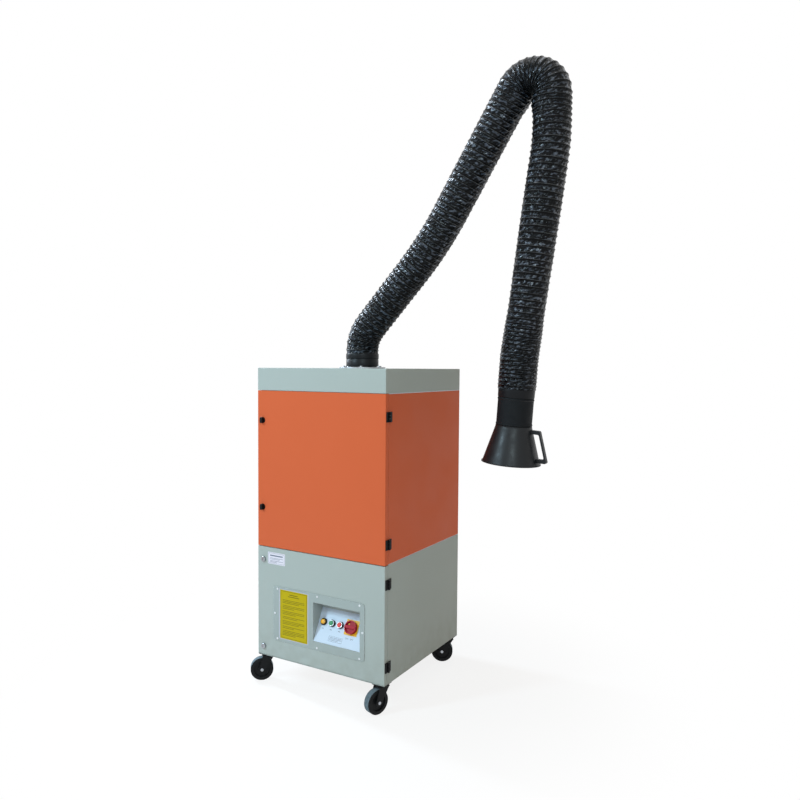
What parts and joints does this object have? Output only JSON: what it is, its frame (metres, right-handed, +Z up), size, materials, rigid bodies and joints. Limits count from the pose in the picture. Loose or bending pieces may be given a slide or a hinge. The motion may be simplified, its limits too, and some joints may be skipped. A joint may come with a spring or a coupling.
{
  "type": "welding fume extractor",
  "caption": "Mobile welding fume extractor: a filter and blower cabinet on casters with a ribbed, jointed extraction arm and a hood.",
  "frame": {"origin": "on the floor, under the middle of the cabinet", "axes": "+Z up, -Y out of the doors, +X towards the side that the arm reaches over"},
  "size_m": [1.2938, 0.7181, 2.567],
  "materials": {
    "grey_paint": "satin",
    "orange_paint": "satin",
    "black_steel": "satin",
    "zinc_steel": "satin",
    "bright_steel": "polished",
    "motor_alloy": "matte",
    "black_plastic": "matte",
    "hood_plastic": "satin",
    "hose_cloth": "gloss",
    "seal_rubber": "matte",
    "wheel_rubber": "matte",
    "filter_cloth": "matte",
    "control_panel": "satin",
    "amber_lens": "gloss",
    "green_button": "gloss",
    "red_button": "gloss",
    "red_knob": "gloss",
    "yellow_plate": "satin"
  },
  "bodies": {
    "cabinet": {"base_pan": "grey_paint", "base_casing": "grey_paint", "filter_casing": "orange_paint", "top_cap": "grey_paint", "tube_plate": "zinc_steel", "cap_deck": "zinc_steel", "arm_flange": "zinc_steel", "flange_bolts": "zinc_steel", "filter_cartridge": "filter_cloth", "filter_end_caps": "black_plastic", "dust_tray": "zinc_steel", "blower_housing": "zinc_steel", "motor": "motor_alloy", "exhaust_grille": "grey_paint", "cable_gland": "black_plastic", "cabinet_hinge_leaves": "black_plastic", "hinge_pins": "zinc_steel", "caster_plates": "black_steel"},
    "filter_door_leaf": {"filter_door": "orange_paint", "filter_door_seal": "seal_rubber", "filter_door_hinge_leaves": "black_plastic"},
    "blower_door_leaf": {"blower_door": "grey_paint", "blower_door_hinge_leaves": "black_plastic", "control_fascia": "grey_paint", "fascia_screws": "zinc_steel", "control_plate": "control_panel", "indicator_lamp": "amber_lens", "control_bezels": "black_plastic", "isolator_plate": "yellow_plate"},
    "turntable": {"arm_turntable": "black_steel", "shoulder_pin": "zinc_steel", "hose_base": "hose_cloth"},
    "lower_arm": {"lower_arm_bar": "black_steel", "hose_lower": "hose_cloth"},
    "elbow": {"elbow_link": "black_steel", "elbow_pins": "zinc_steel", "hose_elbow": "hose_cloth"},
    "upper_arm": {"upper_arm_bar": "black_steel", "hose_upper": "hose_cloth"},
    "collar": {"hood_collar": "hood_plastic", "wrist_pin": "zinc_steel", "hose_wrist": "hose_cloth"},
    "hood": {"hood_cone": "hood_plastic", "hood_handle": "hood_plastic"},
    "blower_wheel": {"impeller": "motor_alloy"},
    "upper_latch": {"upper_latch": "black_plastic"},
    "lower_latch": {"lower_latch": "black_plastic"},
    "upper_lock": {"upper_lock": "bright_steel"},
    "lower_lock": {"lower_lock": "bright_steel"},
    "start_button": {"start_button": "green_button"},
    "stop_button": {"stop_button": "red_button"},
    "isolator_knob": {"isolator_knob": "red_knob"},
    "caster_1": {"caster_fork_1": "black_steel"},
    "wheel_1": {"caster_wheel_1": "wheel_rubber"},
    "caster_2": {"caster_fork_2": "black_steel"},
    "wheel_2": {"caster_wheel_2": "wheel_rubber"},
    "caster_3": {"caster_fork_3": "black_steel"},
    "wheel_3": {"caster_wheel_3": "wheel_rubber"},
    "caster_4": {"caster_fork_4": "black_steel"},
    "wheel_4": {"caster_wheel_4": "wheel_rubber"}
  },
  "joints": [
    {"name": "filter_door_hinge", "type": "hinge", "parent": "cabinet", "child": "filter_door_leaf", "pos_m": [0.331, -0.303, 0.95], "axis": [0, 0, 1], "range_deg": [0, 110]},
    {"name": "blower_door_hinge", "type": "hinge", "parent": "cabinet", "child": "blower_door_leaf", "pos_m": [0.331, -0.303, 0.36], "axis": [0, 0, 1], "range_deg": [0, 110]},
    {"name": "impeller_spin", "type": "hinge", "parent": "cabinet", "child": "blower_wheel", "pos_m": [0, 0, 0.53], "axis": [0, 0, 1], "continuous": true},
    {"name": "arm_swivel", "type": "hinge", "parent": "cabinet", "child": "turntable", "pos_m": [0, 0, 1.4], "axis": [0, 0, 1], "continuous": true},
    {"name": "shoulder_tilt", "type": "hinge", "parent": "turntable", "child": "lower_arm", "pos_m": [0, 0, 1.505], "axis": [0, -1, 0], "range_deg": [-20, 25], "deforming": ["hose_base"]},
    {"name": "elbow_inner_fold", "type": "hinge", "parent": "lower_arm", "child": "elbow", "pos_m": [0.741, 0, 2.481], "axis": [0, -1, 0], "range_deg": [0, 45], "deforming": ["hose_elbow"]},
    {"name": "elbow_outer_fold", "type": "hinge", "parent": "elbow", "child": "upper_arm", "pos_m": [0.842, 0, 2.463], "axis": [0, -1, 0], "range_deg": [0, 50], "deforming": ["hose_elbow"]},
    {"name": "hood_tilt", "type": "hinge", "parent": "upper_arm", "child": "collar", "pos_m": [0.7344, 0, 1.31985], "axis": [0, 1, 0], "range_deg": [-40, 40], "deforming": ["hose_wrist"]},
    {"name": "hood_turn", "type": "hinge", "parent": "collar", "child": "hood", "pos_m": [0.73, 0, 1.257], "axis": [-0.0698, 0, -0.9976], "continuous": true},
    {"name": "upper_latch_turn", "type": "hinge", "parent": "filter_door_leaf", "child": "upper_latch", "pos_m": [-0.297, -0.325, 1.143], "axis": [0, -1, 0], "range_deg": [0, 90]},
    {"name": "lower_latch_turn", "type": "hinge", "parent": "filter_door_leaf", "child": "lower_latch", "pos_m": [-0.297, -0.325, 0.768], "axis": [0, -1, 0], "range_deg": [0, 90]},
    {"name": "upper_lock_turn", "type": "hinge", "parent": "blower_door_leaf", "child": "upper_lock", "pos_m": [-0.292, -0.325, 0.54], "axis": [0, -1, 0], "range_deg": [0, 90]},
    {"name": "lower_lock_turn", "type": "hinge", "parent": "blower_door_leaf", "child": "lower_lock", "pos_m": [-0.292, -0.325, 0.158], "axis": [0, -1, 0], "range_deg": [0, 90]},
    {"name": "start_button_press", "type": "slide", "parent": "blower_door_leaf", "child": "start_button", "axis": [0, 0.8887, -0.4585], "range_m": [0, 0.004], "stiffness_N_per_m": 400, "springref_m": -0.002},
    {"name": "stop_button_press", "type": "slide", "parent": "blower_door_leaf", "child": "stop_button", "axis": [0, 0.8887, -0.4585], "range_m": [0, 0.004], "stiffness_N_per_m": 400, "springref_m": -0.002},
    {"name": "isolator_turn", "type": "hinge", "parent": "blower_door_leaf", "child": "isolator_knob", "pos_m": [0.1445, -0.28649, 0.30665], "axis": [0, 0.8887, -0.4585], "range_deg": [0, 90]},
    {"name": "caster_1_swivel", "type": "hinge", "parent": "cabinet", "child": "caster_1", "pos_m": [0.294, -0.294, 0.108], "axis": [0, 0, 1], "continuous": true},
    {"name": "wheel_1_roll", "type": "hinge", "parent": "caster_1", "child": "wheel_1", "pos_m": [0.28442, -0.32031, 0.049], "axis": [0.9397, -0.342, 0], "continuous": true},
    {"name": "caster_2_swivel", "type": "hinge", "parent": "cabinet", "child": "caster_2", "pos_m": [-0.294, -0.294, 0.108], "axis": [0, 0, 1], "continuous": true},
    {"name": "wheel_2_roll", "type": "hinge", "parent": "caster_2", "child": "wheel_2", "pos_m": [-0.31481, -0.31274, 0.049], "axis": [0.6691, -0.7431, 0], "continuous": true},
    {"name": "caster_3_swivel", "type": "hinge", "parent": "cabinet", "child": "caster_3", "pos_m": [0.294, 0.294, 0.108], "axis": [0, 0, 1], "continuous": true},
    {"name": "wheel_3_roll", "type": "hinge", "parent": "caster_3", "child": "wheel_3", "pos_m": [0.26883, 0.28173, 0.049], "axis": [0.4384, -0.8988, 0], "continuous": true},
    {"name": "caster_4_swivel", "type": "hinge", "parent": "cabinet", "child": "caster_4", "pos_m": [-0.294, 0.294, 0.108], "axis": [0, 0, 1], "continuous": true},
    {"name": "wheel_4_roll", "type": "hinge", "parent": "caster_4", "child": "wheel_4", "pos_m": [-0.31006, 0.27106, 0.049], "axis": [0.8192, -0.5736, 0], "continuous": true}
  ]
}
